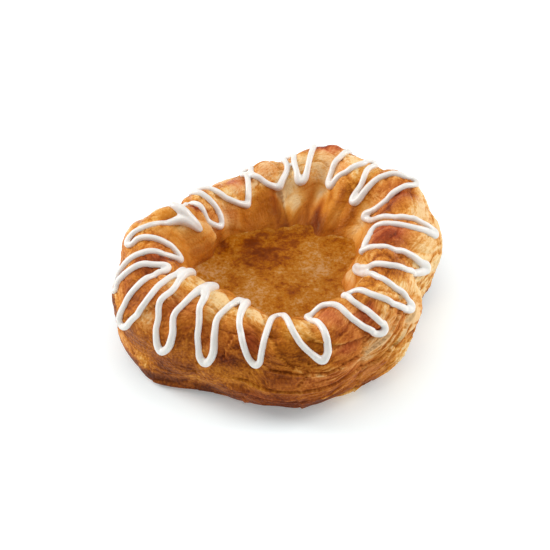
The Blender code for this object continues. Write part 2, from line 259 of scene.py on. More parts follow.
# The zigzag, stroke by stroke: the tip that it starts in (angle, tilt, bead radius), then points on it,
# some with a bead radius of their own. Inner and outer tips take turns.
ICING_STROKES = (
    ((146, -50, 1.2), (152, -35), (152, -20), (150, -3), (150, 10)),
    ((158, 18, 1.1), (163, 8, 1.2), (165, -3, 1.7), (166, -14, 2.0), (167, -26, 1.6)),
    ((168, -41, 0.9), (169, -27, 1.5), (169, -16, 1.9), (172, -9, 1.3), (176, -4, 0.9), (180, 1, 0.9),
     (183, 12, 0.9)),
    ((187, 31, 1.1), (188, 15), (189, -5), (190, -24)),
    ((195, -47, 1.2), (198, -23), (198, -4), (198, 12), (198, 36)),
    ((201, 64, 1.0), (202, 46), (203, 24), (204, 6)),
    ((208, -17, 1.2), (209, -4), (210, 9), (211, 27), (211, 44), (211, 60)),
    ((212, 84, 1.3), (216, 66, 1.1), (218, 48), (218, 30), (217, 14), (216, -4), (215, -18, 1.2)),
    ((211, -44, 1.6), (217, -22, 1.4), (220, -6), (222, 8), (222, 30), (224, 46), (225, 64)),
    ((228, 88, 1.4), (231, 72, 1.3), (231, 56, 1.2), (229, 38), (229, 24), (230, 8, 1.2), (230, -9, 1.6)),
    ((229, -34, 1.6), (232, -12, 1.6), (235, 4, 1.3), (236, 18), (238, 34), (239, 50), (240, 66)),
    ((243, 86, 1.4), (246, 60, 1.3), (245, 38, 1.2), (244, 20), (246, -2)),
    ((249, -35, 1.7), (252, -14, 1.4), (253, 12), (255, 28), (257, 44)),
    ((261, 64, 1.2), (263, 44), (264, 18), (265, 0), (266, -16)),
    ((269, -31, 1.1), (272, -12), (274, 8), (277, 24), (280, 37)),
    ((284, 51, 1.4), (286, 38, 1.3), (286, 20, 1.2), (285, 0)),
    ((282, -25, 1.2), (287, -25), (291, -19), (295, -4), (297, 12), (301, 30)),
    ((309, 52, 1.3), (308, 38), (306, 20), (305, 8), (303, -3)),
    ((302, -16, 1.3), (306, -24), (309, -16), (311, 4), (314, 20), (317, 34)),
    ((326, 62, 1.4), (325, 45), (324, 32), (322, 18), (321, 4), (323, -15), (328, -35, 1.2)),
    ((338, -55, 1.2), (333, -40, 1.2), (329, -20), (329, 0), (332, 16), (338, 39)),
    ((352, 70, 1.6), (350, 52, 1.3), (348, 24), (344, 8)),
    ((343, -28, 1.3), (349, -32, 1.3), (356, -33, 1.2), (4, -35, 1.0), (7, -32, 1.0), (5, -18), (3, 0),
     (2, 20)),
    ((6, 50, 1.4), (8, 30), (9, 12), (11, -10), (17, -34)),
    ((34, -60, 1.3), (32, -44), (29, -24), (29, 0)),
    ((31, 32, 1.1), (34, 17), (38, 7), (41, -8)),
    ((44, -43, 1.5), (47, -12), (49, 8)),
    ((51, 30, 1.1), (53, 12), (56, -4), (60, -20)),
    ((64, -41, 1.5), (66, -24), (66, -8), (65, 6), (64, 22), (64, 36)),
    ((70, 58, 1.1), (77, 36), (77, 18), (77, -4), (77, -22)),
    ((79, -40, 1.5), (82, -22), (84, -2)),
    ((87, 26, 1.1), (88, 6), (87, -14)),
    ((91, -40, 1.4), (97, -31), (101, -18), (105, -2)),
    ((106, 28, 1.1), (107, 10), (109, -16)),
    ((114, -44, 1.4), (122, -34), (128, -18), (132, 2)),
    ((140, 26, 1.1), (143, 8), (142, -12), (141, -32)),
)

# The filling. Its edges are shares of the radius.
SPOKES = 240
FILLING_RINGS = 69
FILLING_DROP = 0.4  # from the top of its box down to its level
FILLING_TUCK = 0.4  # by which it reaches into the wall
FILLING_DEPTH = 3.0  # from the bottom of its box up to its underside
FLAT_EDGE = (0.85, 1.0)  # over which the lumps get lower
EDGE_CALM = 0.6
RAISED_EDGE = (0.84, 1.06)  # over which it climbs the wall
EDGE_CLIMB = 0.6
EDGE_CURVE = 1.5
EDGE_CLOUD = 0.06
CLOUDY_EDGE = (0.86, 1.0)

# Lumps and clouds of the filling: size, seed, strength.
FILLING_LUMPS = ((7.0, 21, 0.45), (2.4, 22, 0.20), (1.1, 23, 0.10))
FILLING_CLOUDS = ((5.0, 24, 0.22), (1.6, 25, 0.16))

# Clear and clouded places in the filling, and painted shade of the wall along its back, most on the left:
# x, y, half sizes along them, and how much paler.
FILLING_TONE_AND_SHADE_SPOTS = (
    (-8, 13, 15, 6, -0.27), (-9, 7, 7, 6, -0.15), (-19, 5, 4, 4, 0.3), (-13, 0, 5, 3, -0.08),
    (19, 4, 4, 4, -0.15), (15, 11, 6, 4, 0.2), (8, 16, 16, 4, -0.1), (11, 4, 6, 5, 0.35),
    (19, 9, 5, 5, 0.05), (-3, -5, 7, 4, 0.15), (22, -12, 4, 5, 0.5), (-14, -12, 5, 4, 0.3),
    (6, -5, 4, 3, -0.2), (0, -15, 6, 3, -0.1), (-23, 0, 5, 4, 0.05), (10, -14, 8, 4, 0.05),
)

# Colours of the crust from palest to most browned, where it is golden and where it is reddish.
CRUST_TONES = (
    (0.0, (0.9, 0.63, 0.31)), (0.18, (0.79, 0.39, 0.092)), (0.38, (0.62, 0.218, 0.022)),
    (0.55, (0.47, 0.138, 0.010)), (0.75, (0.28, 0.064, 0.004)), (1.0, (0.11, 0.017, 0.0015)),
)
RED_TONES = (
    (0.0, (0.78, 0.36, 0.15)), (0.3, (0.62, 0.175, 0.055)), (0.6, (0.38, 0.065, 0.017)),
    (1.0, (0.14, 0.012, 0.003)),
)

# Colours of the filling from clear, or in painted shade, to clouded, and of the icing.
FILLING_TONES = (
    (0.0, (0.16, 0.026, 0.0004)), (0.2, (0.27, 0.058, 0.0008)), (0.4, (0.41, 0.125, 0.003)),
    (0.62, (0.47, 0.18, 0.018)), (0.92, (0.56, 0.29, 0.11)),
)
ICING_TONES = ((0.3, (0.77, 0.735, 0.69)), (0.7, (0.86, 0.825, 0.78)))

# Floor.
FLOOR_CORNERS = ((-3, -3, 0), (3, -3, 0), (3, 3, 0), (-3, 3, 0))
FLOOR_DROP = 0.0001

# Camera and light.
CAMERA_DISTANCE = 0.600
CAMERA_ELEVATION = 40.0
TARGET = (-0.00197, 0.0, 0.0153)
LAMPS = (  # name, angle, elevation, distance, size, power
    ("key", 163.0, 30.0, 1.2, 0.7, 10.0),
    ("rim", 12.0, 27.0, 1.2, 0.7, 7.6),
    ("top", 90.0, 88.0, 1.3, 1.2, 5.5),
)


def noise(points, seed):
    """Smooth value noise from -1 to 1 at points given in cells."""
    lattice = np.random.default_rng(seed).uniform(-1.0, 1.0, (LATTICE, LATTICE, LATTICE))
    cell = np.floor(points).astype(int)
    part = points - cell
    part = part * part * (3.0 - 2.0 * part)
    total = np.zeros(points.shape[:-1])
    for corner in np.ndindex(2, 2, 2):
        weight = np.prod(np.where(corner, part, 1.0 - part), axis=-1)
        near = (cell + corner) % LATTICE
        total += weight * lattice[near[..., 0], near[..., 1], near[..., 2]]
    return total


def ring_noise(angle, across, run, pitch, seed):
    """Noise on the ring, by its lengths round the ring (run) and across (pitch)."""
    turned = np.radians(angle)
    around = RING_RADIUS / run
    points = np.stack([around * np.cos(turned), around * np.sin(turned), across / pitch], -1)
    return noise(points + NOISE_SHIFT, seed)


def flat_noise(flat, rows):
    """Noise on flat places, from rows of size, seed and strength."""
    total = np.zeros(flat.shape[:-1])
    for size, seed, strength in rows:
        total += strength * noise(flat / size + FLAT_SHIFT, seed)
    return total


def shortest(turn):
    """An angle between -180 and 180."""
    return (turn + 180.0) % 360.0 - 180.0


def periodic(table, angle):
    """Smooth values at angles, from rows of (angle, value) in order that wrap round."""
    places, values = np.array(table, float).T
    spans = np.mod(np.roll(places, -1) - places, 360.0)
    slopes = (np.roll(values, -1) - np.roll(values, 1)) / 2
    angle = np.mod(angle, 360.0)
    first = np.searchsorted(places, angle, side="right") - 1
    last = (first + 1) % len(places)
    part = np.mod(angle - places[first], 360.0) / spans[first]
    return (
        (2 * part**3 - 3 * part**2 + 1) * values[first]
        + (part**3 - 2 * part**2 + part) * slopes[first]
        + (3 * part**2 - 2 * part**3) * values[last]
        + (part**3 - part**2) * slopes[last]
    )


def rise(value, start, end):
    """Smooth step from 0 at start to 1 at end."""
    part = np.clip((value - start) / (end - start), 0.0, 1.0)
    return part * part * (3.0 - 2.0 * part)


def bell(value, width):
    """1 where the value is 0, falling off over the width."""
    return np.exp(-((value / width) ** 2))


def smoothed(values, rounds, across=True):
    """Values averaged with their neighbours round the ring, and across the rim as well."""
    for _ in range(rounds):
        values = (np.roll(values, 1, 0) + 2 * values + np.roll(values, -1, 0)) / 4
        if across:
            padded = np.pad(values, ((0, 0), (1, 1)), mode="edge")
            values = (padded[:, :-2] + 2 * values + padded[:, 2:]) / 4
    return values


def surface(made):
    """The surface of a CAD object or a finished mesh, for rays."""
    points = [vertex.co.copy() for vertex in made.data.vertices]
    return BVHTree.FromPolygons(points, [tuple(face.vertices) for face in made.data.polygons])


def direction(angle, away, up):
    """A vector at an angle, from its length outward and its height."""
    turned = math.radians(angle)
    return Vector((away * math.cos(turned), away * math.sin(turned), up))


def outward(angle, tilt):
    """The way out from the middle of the rim's section, at an angle and a tilt."""
    slope = math.radians(tilt)
    return direction(angle, math.sin(slope), math.cos(slope))


def ring_core(crust, angles, top):
    """(radius, height) of the middle of the rim's section at each angle."""
    found = []
    for angle in angles:
        back = direction(angle, -1, 0)
        forth = direction(angle, 1, 0)
        walls = [crust.ray_cast(direction(angle, FAR, top * share), back)[0] for share in WALL_LEVELS]
        lips = [crust.ray_cast(Vector((0, 0, top * share)), forth)[0] for share in LIP_LEVELS]
        outer = max(math.hypot(hit.x, hit.y) for hit in walls)
        inner = min(math.hypot(hit.x, hit.y) for hit in lips)
        steps = [inner + (outer - inner) * share for share in CREST_STEPS]
        tops = [crust.ray_cast(direction(angle, step, FAR), DOWN)[0] for step in steps]
        crest = max(hit.z for hit in tops)
        found.append(((outer + inner) / 2, crest * CORE_SHARE))
    return smoothed(np.array(found), CORE_ROUNDS, across=False)


def crust_distances(crust, angles, core, tilts):
    """How far the CAD crust is from the middle of its section, for each angle and tilt."""
    found = []
    for angle, middle in zip(angles, core):
        start = direction(angle, *middle)
        found.append([crust.ray_cast(start, outward(angle, tilt))[3] for tilt in tilts])
    return np.array(found)


def grid_points(angles, core, tilts, distances):
    """Points at the given distances from the middle of the rim's section."""
    turned = np.radians(angles)[:, None]
    slopes = np.radians(tilts)
    radius = core[:, :1] + distances * np.sin(slopes)
    level = core[:, 1:] + distances * np.cos(slopes)
    return np.stack([radius * np.cos(turned), radius * np.sin(turned), level], -1)


def grid_normals(points):
    """Outward normals of the grid."""
    around = np.roll(points, -1, 0) - np.roll(points, 1, 0)
    across = np.gradient(points, axis=1)
    normals = np.cross(around, across)
    return normals / np.maximum(np.linalg.norm(normals, axis=-1, keepdims=True), 1e-12)


def measure_crust(pastry):
    """The CAD crust as a grid: its angles, tilts, section middles and points."""
    crust = surface(pastry)
    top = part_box("pastry")[1].z
    angles = np.arange(COLUMNS) * 360.0 / COLUMNS
    spans = [np.linspace(start, end, rows, endpoint=False) for start, end, rows in ROW_SPANS]
    tilts = np.concatenate(spans + [[ROW_SPANS[-1][1]]])
    core = ring_core(crust, angles, top)
    distances = smoothed(crust_distances(crust, angles, core, tilts), SMOOTH_ROUNDS)
    return angles, tilts, core, grid_points(angles, core, tilts, distances)


def offset_from_line(angle, tilt, line):
    """How far away a line of (angle, tilt) points is, the side of it, and how far along it."""
    best = np.full(angle.shape, np.inf)
    side = np.ones(angle.shape)
    along = np.zeros(angle.shape)
    passed = 0.0
    for (a0, t0), (a1, t1) in zip(line, line[1:]):
        x = shortest(angle - a0) * ARC_RUN
        y = (tilt - t0) * TILT_RUN
        dx = (a1 - a0) * ARC_RUN
        dy = (t1 - t0) * TILT_RUN
        length = math.hypot(dx, dy)
        share = np.clip((x * dx + y * dy) / (dx * dx + dy * dy), 0.0, 1.0)
        away = np.hypot(x - share * dx, y - share * dy)
        nearer = away < best
        side = np.where(nearer, np.sign(dx * y - dy * x), side)
        best = np.where(nearer, away, best)
        along = np.where(nearer, passed + share * length, along)
        passed += length
    return best, side, along


def folds(angle, tilt):
    """Heights of the folds, and how near each place is to the lip of one, which is painted pale: partly its
    pale cut edge, partly painted highlight.
    """
    height = np.zeros(angle.shape)
    lip = np.zeros(angle.shape)
    for step, reach, *line in EDGES:
        away, side, along = offset_from_line(angle, tilt, line)
        full = rise(along, 0.0, FOLD_START)
        stands_out = step * np.exp(-away / reach)
        lies_back = -FOLD_BACK * step * np.exp(-away / (FOLD_BACK_REACH * reach))
        height += full * np.where(side > 0, stands_out, lies_back)
        lip = np.maximum(lip, full * np.where(side > 0, np.exp(-away / LIP_WIDTH), 0.0))
    return height, lip


def crease_folds(angle, share):
    """Sharp overlaps along the creases between the pleats."""
    height = np.zeros(angle.shape)
    for place, strength in CREASES:
        along = shortest(angle - place - CREASE_SLANT * (share - 0.5)) * ARC_RUN
        before = np.exp(-np.abs(along) / CREASE_REACH)
        behind = -CREASE_BACK * np.exp(-np.abs(along) / CREASE_BACK)
        height += CREASE_HEIGHT * strength * np.where(along > 0, before, behind)
    return height


def cells(angle, across, run, pitch, slant, seed):
    """Scattered cells round the ring: value, distance to the middle and to the border, place across."""
    count = round(2 * math.pi * RING_RADIUS / run)
    chance = np.random.default_rng(seed)
    jitter = chance.uniform(*CELL_MIDDLES, (count, CELL_ROWS, 2))
    values = chance.uniform(-1.0, 1.0, (count, CELL_ROWS))
    slanted = angle + np.degrees(slant * across / RING_RADIUS)
    size = CELL_WARP_SIZE[0] * run, CELL_WARP_SIZE[1] * pitch
    warp_u, warp_v = (CELL_WARP * ring_noise(angle, across, *size, seed + k) for k in (1, 2))
    u = slanted / 360.0 * count + warp_u
    v = across / pitch + warp_v + CELL_SHIFT
    cell_u = np.floor(u).astype(int)
    cell_v = np.floor(v).astype(int)
    nearest = second = np.full(u.shape, np.inf)
    value = place = np.zeros(u.shape)
    for du in (-1, 0, 1):
        for dv in (-1, 0, 1):
            row = (cell_v + dv) % CELL_ROWS
            column = (cell_u + du) % count
            off_u = u - (cell_u + du + jitter[column, row, 0])
            off_v = v - (cell_v + dv + jitter[column, row, 1])
            away = np.hypot(off_u, off_v)
            closer = away < nearest
            second = np.where(closer, nearest, np.minimum(second, away))
            value = np.where(closer, values[column, row], value)
            place = np.where(closer, off_v, place)
            nearest = np.where(closer, away, nearest)
    return value, nearest, second - nearest, place


def spread(angle, tilt, middle, level, around, across):
    """Squared distance from a place on the ring, in its half lengths round and across."""
    x = shortest(angle - middle) * ARC_RUN / around
    y = (tilt - level) * TILT_RUN / across
    return x * x + y * y


def swellings(angle, tilt):
    """Height of the broad swellings."""
    height = np.zeros(angle.shape)
    for *place, swell in SWELLINGS:
        height += swell * np.exp(-SWELLING_FALL * spread(angle, tilt, *place))
    return height


def spots(angle, tilt, wobble):
    """Change of tone and of redness by the spots, some of which paint light."""
    brown_and_light = np.zeros(angle.shape)
    red = np.zeros(angle.shape)
    for row in CRUST_TONE_AND_LIGHT_SPOTS:
        *place, darker, redder = (*row, 0)[:6]
        fall = np.exp(-SPOT_FALL * spread(angle, tilt, *place))
        near = fall * (SPOT_STRENGTH + SPOT_WOBBLE * wobble)
        brown_and_light += darker / 100 * near
        red += redder / 100 * near
    return brown_and_light, np.clip(red, LEAST_SPOT_RED, 1.0)


def oval(grid, middle, level, around, across, edge, fade):
    """1 in an oval place and 0 outside it, with a soft edge."""
    away = np.hypot((grid.angle - middle) / around, (grid.tilt - level) / across)
    return rise(edge - away, 0.0, fade)


def weighted(base, weights, *parts):
    """The base with each part added to it by its weight."""
    for weight, part in zip(weights, parts):
        base = base + weight * part
    return base


def noise_at(grid, settings):
    """Noise over the crust."""
    return ring_noise(grid.angle, grid.across, *settings)


def mostly(least, part):
    """From the least share up to 1, as the part goes from 0 to 1."""
    return least + (1 - least) * part


def add_zones(grid):
    """The wall, the smooth inside, the lobe, and how rough and layered each place is."""
    grid.wall = rise(grid.tilt, *WALL_ZONE)
    grid.inner = rise(-grid.tilt, *INNER_ZONE)
    grid.lobe = oval(grid, *LOBE)
    grid.calm = np.maximum(grid.inner, grid.lobe)
    grid.rough = (1 - 0.85 * grid.calm) * (1 - 0.7 * oval(grid, *PANEL))
    grid.layered = periodic(LAYERED, grid.angle)


def add_layers(grid):
    """How the layers drift, and which layer each place is on."""
    grid.drift = noise_at(grid, DRIFT)
    grid.small_drift = noise_at(grid, SMALL_DRIFT)
    level = grid.across - periodic(LAYER_RISE, grid.angle)
    grid.flow = weighted(level, LAYER_DRIFT, grid.drift, grid.small_drift)


def add_flakes(grid):
    """Pillows, flakes on the wall that turn to twists on the crest, and crumbs."""
    grid.pillow, grid.middle, border, _ = cells(grid.angle, grid.flow, *PILLOWS)
    grid.valley = bell(border, CRACK_WIDTH)
    grid.bent = weighted(grid.flow, LAYER_BEND, grid.middle, grid.pillow)
    flake, _, gap, ramp = cells(grid.angle, grid.bent, *FLAKES)
    twist, _, top_gap, top_ramp = cells(grid.angle, grid.bent, *TWISTS)
    crest = 1 - grid.wall
    grid.flake = grid.wall * flake + crest * 0.8 * twist
    grid.crack = grid.wall * bell(gap, CRACK_WIDTH) + crest * 0.7 * bell(top_gap, CRACK_WIDTH)
    grid.ramp = grid.wall * ramp + crest * 0.6 * top_ramp
    grid.crumb = cells(grid.angle, grid.bent, *CRUMBS)[0]


def add_leaves(grid):
    """The thin leaves of the dough, and how strongly leaves and flakes show."""
    level = grid.bent / LAYER_PITCH
    part = level - np.floor(level)
    grid.leaf = ring_noise(grid.angle, np.floor(level) * LEAF_SPREAD, *LEAVES)
    grid.groove = bell(np.minimum(part, 1.0 - part), GROOVE_WIDTH)
    leafy = rise(noise_at(grid, LEAFY_PATCHES), -0.1, 0.4)
    grid.leafy = leafy * mostly(0.3, grid.wall) * grid.layered
    flaky = rise(noise_at(grid, FLAKY_PATCHES), -0.5, 0.4)
    grid.flaky = grid.rough * mostly(0.35, flaky) * mostly(0.4, grid.layered)


def crust_grid(angles, tilts, points):
    """All that relief and the tone share."""
    run = np.linalg.norm(np.diff(points, axis=1), axis=-1).mean(0) / MM
    spent = np.concatenate([[0.0], np.cumsum(run)])
    angle, tilt, across = np.broadcast_arrays(angles[:, None], tilts, spent)
    grid = SimpleNamespace(angle=angle, tilt=tilt, across=across)
    add_zones(grid)
    add_layers(grid)
    add_flakes(grid)
    add_leaves(grid)
    return grid


def with_flakes(grid, base, flake_weights, leaf_weights):
    """A relief, or a tone with its painted light, and what flakes and leaves add to it."""
    flakes = weighted(0, flake_weights, grid.flake, grid.ramp, grid.crack, grid.crumb)
    leaves = weighted(0, leaf_weights, grid.leaf, grid.groove)
    return base + grid.flaky * flakes + grid.rough * grid.leafy * leaves


def crust_relief(grid):
    """Height of flakes, folds and lumps, and how near each place is to a fold's lip."""
    bent_angle = grid.angle + FOLD_DRIFT * grid.drift
    fold, lip = folds(bent_angle, grid.tilt)
    crease = crease_folds(bent_angle, rise(grid.tilt, *CREASE_SPAN)) * (1 - 0.7 * grid.inner)
    lumps = weighted(0, LUMP_RELIEF, grid.drift, noise_at(grid, LUMPS))
    plain = 1 - 0.75 * grid.wall * (1 - grid.layered)
    pillows = PILLOW_HEIGHT * (PILLOW_MIDDLE - grid.middle**2) - VALLEY_DEPTH * grid.valley
    height = with_flakes(grid, (1 - 0.85 * grid.inner) * plain * pillows, FLAKE_RELIEF, LEAF_RELIEF)
    return height + fold + crease + lumps - GROWTH, lip


def crust_tone_and_light(grid, height, lip):
    """How dark each place is, by browning, painted shade and painted highlight, and how reddish."""
    spot_tone_and_light, spot_red = spots(grid.angle, grid.tilt, grid.small_drift)
    bake_and_foot_shade = sum(more * rise(side * grid.tilt, start, end) for more, side, start, end in BROWNING_AND_FOOT_SHADE)
    mottle = weighted(0, MOTTLE_BROWNING, noise_at(grid, MOTTLE), grid.pillow)
    brown_and_light = BASE_BROWN + (1 - 0.7 * grid.lobe) * mottle + bake_and_foot_shade + spot_tone_and_light
    brown_and_light = weighted(np.clip(brown_and_light, 0.0, MOST_BROWN), FORM_SHADE_AND_HIGHLIGHT, grid.valley, lip, height)
    brown_and_light = with_flakes(grid, brown_and_light, FLAKE_TONE_AND_SHADE, LEAF_TONE_AND_GROOVE_SHADE)
    red = BASE_RED + RED_RANGE * noise_at(grid, REDNESS) + spot_red
    return brown_and_light, red


def make_object(name, data):
    """A new object in the scene."""
    made = bpy.data.objects.new(name, data)
    bpy.context.scene.collection.objects.link(made)
    return made


def make_mesh(name, points, faces):
    """A smooth mesh in an object of the same name."""
    mesh = bpy.data.meshes.new(name)
    mesh.from_pydata(points.tolist(), [], faces)
    mesh.validate()
    mesh.shade_smooth()
    return make_object(name, mesh)


def ring_faces(columns, rows):
    """Faces of a grid that closes round the ring."""
    pairs = [(i * rows, (i + 1) % columns * rows) for i in range(columns)]
    return [(a + j, b + j, b + j + 1, a + j + 1) for a, b in pairs for j in range(rows - 1)]


def crust_faces(rows):
    """Faces of the crust: the ring, the underside and the floor of the well."""
    underside = tuple(i * rows for i in reversed(range(COLUMNS)))
    well_floor = tuple(i * rows + rows - 1 for i in range(COLUMNS))
    return ring_faces(COLUMNS, rows) + [underside, well_floor]


def add_attribute(mesh, name, values, kind="FLOAT", part="value"):
    """Keeps a number, or a vector, for each point of a mesh."""
    layer = mesh.attributes.new(name, kind, "POINT")
    layer.data.foreach_set(part, np.ascontiguousarray(values, np.float32).ravel())


def keep_grid(mesh, grid, brown_and_light, red):
    """Keeps on the crust what its material reads."""
    turned = np.radians(grid.angle)
    around = [RING_RADIUS * np.cos(turned), RING_RADIUS * np.sin(turned)]
    plain_wall = grid.wall * (1 - np.clip(1.5 * grid.layered, 0.0, 1.0))
    add_attribute(mesh, "flow", np.stack(around + [grid.flow], -1), "FLOAT_VECTOR", "vector")
    # The kept tone also carries painted shade and painted highlight.
    kept = {"brown_and_light": brown_and_light, "red": red, "inner": grid.calm, "wall": grid.wall}
    kept["sheets"] = 1 - 0.7 * plain_wall
    for name, values in kept.items():
        add_attribute(mesh, name, values)


def make_crust(pastry):
    """The detailed crust over the CAD pastry, and the ring of its section's middles."""
    angles, tilts, core, points = measure_crust(pastry)
    grid = crust_grid(angles, tilts, points)
    height, lip = crust_relief(grid)
    brown_and_light, red = crust_tone_and_light(grid, height, lip)
    foot = rise(points[..., 2] / MM, 0.0, FOOT_HEIGHT)
    relief = height * mostly(FOOT_RELIEF, foot) + swellings(grid.angle, grid.tilt)
    points = points + grid_normals(points) * (relief * MM)[..., None]
    points[..., 2] = np.maximum(points[..., 2], 0.0)
    made = make_mesh("dough_crust", points.reshape(-1, 3), crust_faces(len(tilts)))
    keep_grid(made.data, grid, brown_and_light, red)
    return made, SimpleNamespace(angles=angles, core=core)


def filling_edge(crust, level, angles):
    """How far the inner wall is from the middle at the filling's level, for each angle."""
    start = Vector((0, 0, level))
    hits = [crust.ray_cast(start, direction(angle, 1, 0))[0] for angle in angles]
    return np.array([math.hypot(hit.x, hit.y) for hit in hits])


def filling_tone(flat):
    """How pale the filling is, from clear amber to clouded tan, darker along its back with painted shade.
    """
    tone = flat_noise(flat, FILLING_CLOUDS)
    for x, y, wide, deep, paler in FILLING_TONE_AND_SHADE_SPOTS:
        away = ((flat[..., 0] - x) / wide) ** 2 + ((flat[..., 1] - y) / deep) ** 2
        tone += paler * np.exp(-away)
    return tone


def filling_faces(rows):
    """Faces of the filling: the top, the fan at its middle, the skirt and the underside."""
    centre = SPOKES * rows
    low = centre + 1
    pairs = [(i, (i + 1) % SPOKES) for i in range(SPOKES)]
    top = [tuple(reversed(face)) for face in ring_faces(SPOKES, rows)]
    fan = [(centre, i * rows, k * rows) for i, k in pairs]
    skirt = [(i * rows + rows - 1, low + i, low + k, k * rows + rows - 1) for i, k in pairs]
    return top + fan + skirt + [tuple(low + i for i in reversed(range(SPOKES)))]


def make_filling(crust):
    """The filling: a lumpy top that climbs the wall a little, a skirt and a flat underside."""
    low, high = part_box("filling")
    level = high.z - FILLING_DROP * MM
    angles = np.arange(SPOKES) * 360.0 / SPOKES
    steps = np.linspace(0.0, 1.0, FILLING_RINGS + 1)[1:]
    edge = filling_edge(surface(crust), level, angles) + FILLING_TUCK * MM
    radius = edge[:, None] * steps
    turned = np.radians(angles)[:, None]
    x = radius * np.cos(turned)
    y = radius * np.sin(turned)
    lump = flat_noise(np.stack([x, y, np.zeros_like(x)], -1) / MM, FILLING_LUMPS)
    z = level + lump * MM * (1 - EDGE_CALM * rise(steps, *FLAT_EDGE))
    z += EDGE_CLIMB * MM * rise(steps, *RAISED_EDGE) ** EDGE_CURVE
    top = np.stack([x, y, z], -1).reshape(-1, 3)
    skirt = np.stack([x[:, -1], y[:, -1], np.full(SPOKES, low.z + FILLING_DEPTH * MM)], -1)
    points = np.concatenate([top, [[0, 0, z[:, 0].mean()]], skirt])
    made = make_mesh("fruit_filling", points, filling_faces(FILLING_RINGS))
    cloud_and_shade = filling_tone(points / MM * (1, 1, 0))
    cloud_and_shade[: len(top)] += np.tile(EDGE_CLOUD * rise(steps, *CLOUDY_EDGE), SPOKES)
    add_attribute(made.data, "cloud_and_shade", cloud_and_shade)
    return made


def core_at(ring, angle):
    """(radius, height) of the middle of the rim's section at any angle."""
    return [np.interp(angle, ring.angles, column, period=360) for column in ring.core.T]


def path_scale(ring, angle, tilt):
    """Millimetres on the crust in a degree of angle and in a degree of tilt."""
    reach = core_at(ring, angle)[0] / MM + math.sin(math.radians(tilt)) * SECTION_RADIUS
    return np.array([math.radians(reach), TILT_RUN])


def tip_turn(before, tip, after, radius, scale):
    """Three points round a tip, turned to face away from the points on both sides of it."""
    ends = [(shortest(end[0] - tip[0]), end[1] - tip[1]) for end in (before, after)]
    back, forth = np.array(ends) * scale
    inward = back / np.linalg.norm(back) + forth / np.linalg.norm(forth)
    inward /= np.linalg.norm(inward)
    sideways = np.array([-inward[1], inward[0]])
    if sideways @ (back - forth) < 0:
        sideways = -sideways
    *middle, bead_radius = tip
    steps = (inward + sideways) * radius, np.zeros(2), (inward - sideways) * radius
    return [(*(middle + step / scale), bead_radius * share) for step, share in zip(steps, TIP_SHARES)]


def icing_path(ring):
    """Control points (angle, tilt, bead radius) along the zigzag."""
    path = []
    for k, (tip, *middle) in enumerate(ICING_STROKES):
        before = ICING_STROKES[k - 1][-1]
        radius = OWN_TURNS.get(k, OUTER_TURN if k % 2 else INNER_TURN)
        path.extend(tip_turn(before, tip, middle[0], radius, path_scale(ring, *tip[:2])))
        path.extend((*place, ICING_RUN_RADIUS)[:3] for place in middle)
    return path


def spline_points(path):
    """Evenly laid points on a smooth closed line through the control points."""
    found = []
    count = len(path)
    for k in range(count):
        p0, p1, p2, p3 = (np.array(path[(k + d) % count], float) for d in (-1, 0, 1, 2))
        for p in (p0, p2, p3):
            p[0] = p1[0] + shortest(p[0] - p1[0])
        length = math.hypot((p2[0] - p1[0]) * ICING_ARC, (p2[1] - p1[1]) * TILT_RUN)
        steps = max(2, int(length / ICING_STEP))
        for t in np.arange(steps) / steps:
            bend = (2 * p0 - 5 * p1 + 4 * p2 - p3) * t**2 + (3 * p1 - p0 - 3 * p2 + p3) * t**3
            found.append(0.5 * (2 * p1 + (p2 - p0) * t + bend))
    return found


def lie_on_crust(crust, ring, points):
    """Places of the bead's middle, eased over the small bumps of the crust."""
    starts = [direction(angle, *core_at(ring, angle)) for angle, _, _ in points]
    outs = [outward(angle, tilt) for angle, tilt, _ in points]
    away = np.array([crust.ray_cast(start, out)[3] for start, out in zip(starts, outs)])
    eased = smoothed(away, ICING_ROUNDS, across=False)
    rows = zip(starts, outs, np.maximum(eased, away - ICING_DIP * MM), points)
    return [start + out * (far + point[2] * ICING_LIFT * MM) for start, out, far, point in rows]


def evaluated_mesh(made):
    """A new mesh of an object with its bevel or modifiers."""
    bpy.context.view_layer.update()
    return bpy.data.meshes.new_from_object(made.evaluated_get(bpy.context.evaluated_depsgraph_get()))


def bead(places, radii):
    """The mesh of a closed round bead through the places."""
    line = bpy.data.curves.new("piped_icing", "CURVE")
    line.dimensions = "3D"
    line.bevel_depth = 1.0
    line.bevel_resolution = 4
    spline = line.splines.new("POLY")
    spline.points.add(len(places) - 1)
    spline.use_cyclic_u = True
    for point, place, radius in zip(spline.points, places, radii):
        point.co = (*place, 1.0)
        point.radius = radius
    tube = make_object("tube", line)
    mesh = evaluated_mesh(tube)
    bpy.data.objects.remove(tube)
    return mesh


def make_icing(crust, ring):
    """The icing: a bead along the zigzag, joined to one skin and smoothed."""
    points = spline_points(icing_path(ring))
    places = lie_on_crust(surface(crust), ring, points)
    made = make_object("piped_icing", bead(places, [point[2] * MM for point in points]))
    remesh = made.modifiers.new("join", "REMESH")
    remesh.mode = "VOXEL"
    remesh.voxel_size = 0.34 * MM
    smooth = made.modifiers.new("flow", "SMOOTH")
    smooth.iterations = 6
    done = evaluated_mesh(made)
    made.modifiers.clear()
    made.data = done
    done.shade_smooth()
    return made


